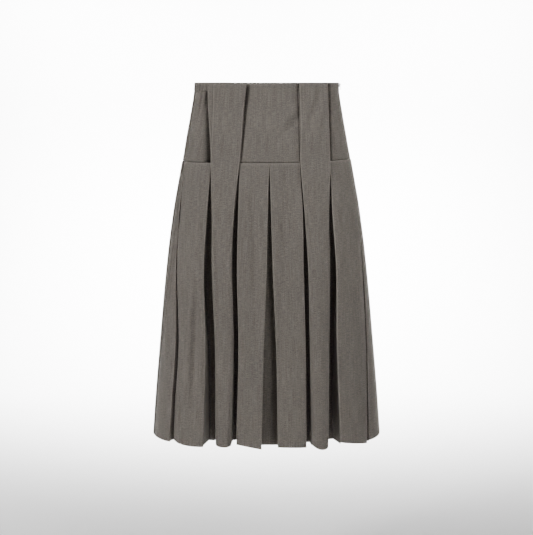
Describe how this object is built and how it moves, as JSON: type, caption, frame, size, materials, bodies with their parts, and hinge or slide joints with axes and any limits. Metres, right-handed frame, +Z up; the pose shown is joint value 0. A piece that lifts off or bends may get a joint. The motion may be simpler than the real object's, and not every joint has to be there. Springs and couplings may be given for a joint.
{
  "type": "pleated maxi skirt",
  "caption": "Long A-line skirt with a fitted yoke, inverted pleats below the hip, front pleats that run unbroken from the waist, a gathered elastic back waist and a side zip.",
  "frame": {"origin": "centre of the waist opening, level with the top edge of the back waist casing", "axes": "+Z up out of the waist, -Y out of the front, +X towards the wearer's left side, where the zip is"},
  "size_m": [0.562, 0.3114, 0.8643],
  "materials": {
    "suiting": "fine matt melange woven suiting in mixed taupe and greenish grey threads",
    "tape": "matt woven zip tape, dark taupe",
    "slider": "dark enamelled metal, satin"
  },
  "bodies": {
    "skirt": {"yoke_front": "suiting", "yoke_side_front_l": "suiting", "yoke_side_front_r": "suiting", "yoke_back": "suiting", "waist_elastic": "suiting", "long_pleat_l": "suiting", "long_pleat_r": "suiting", "skirt_front_centre": "suiting", "skirt_front_l": "suiting", "skirt_front_r": "suiting", "skirt_back_l": "suiting", "skirt_back_r": "suiting", "zip_tape": "tape", "zip_slider": "slider"},
    "pull": {"zip_pull": "slider"}
  },
  "joints": [
    {"name": "pull_swing", "type": "hinge", "parent": "skirt", "child": "pull", "pos_m": [0.17643, 0, -0.0043], "axis": [0, -1, 0], "range_deg": [0, 150]}
  ]
}
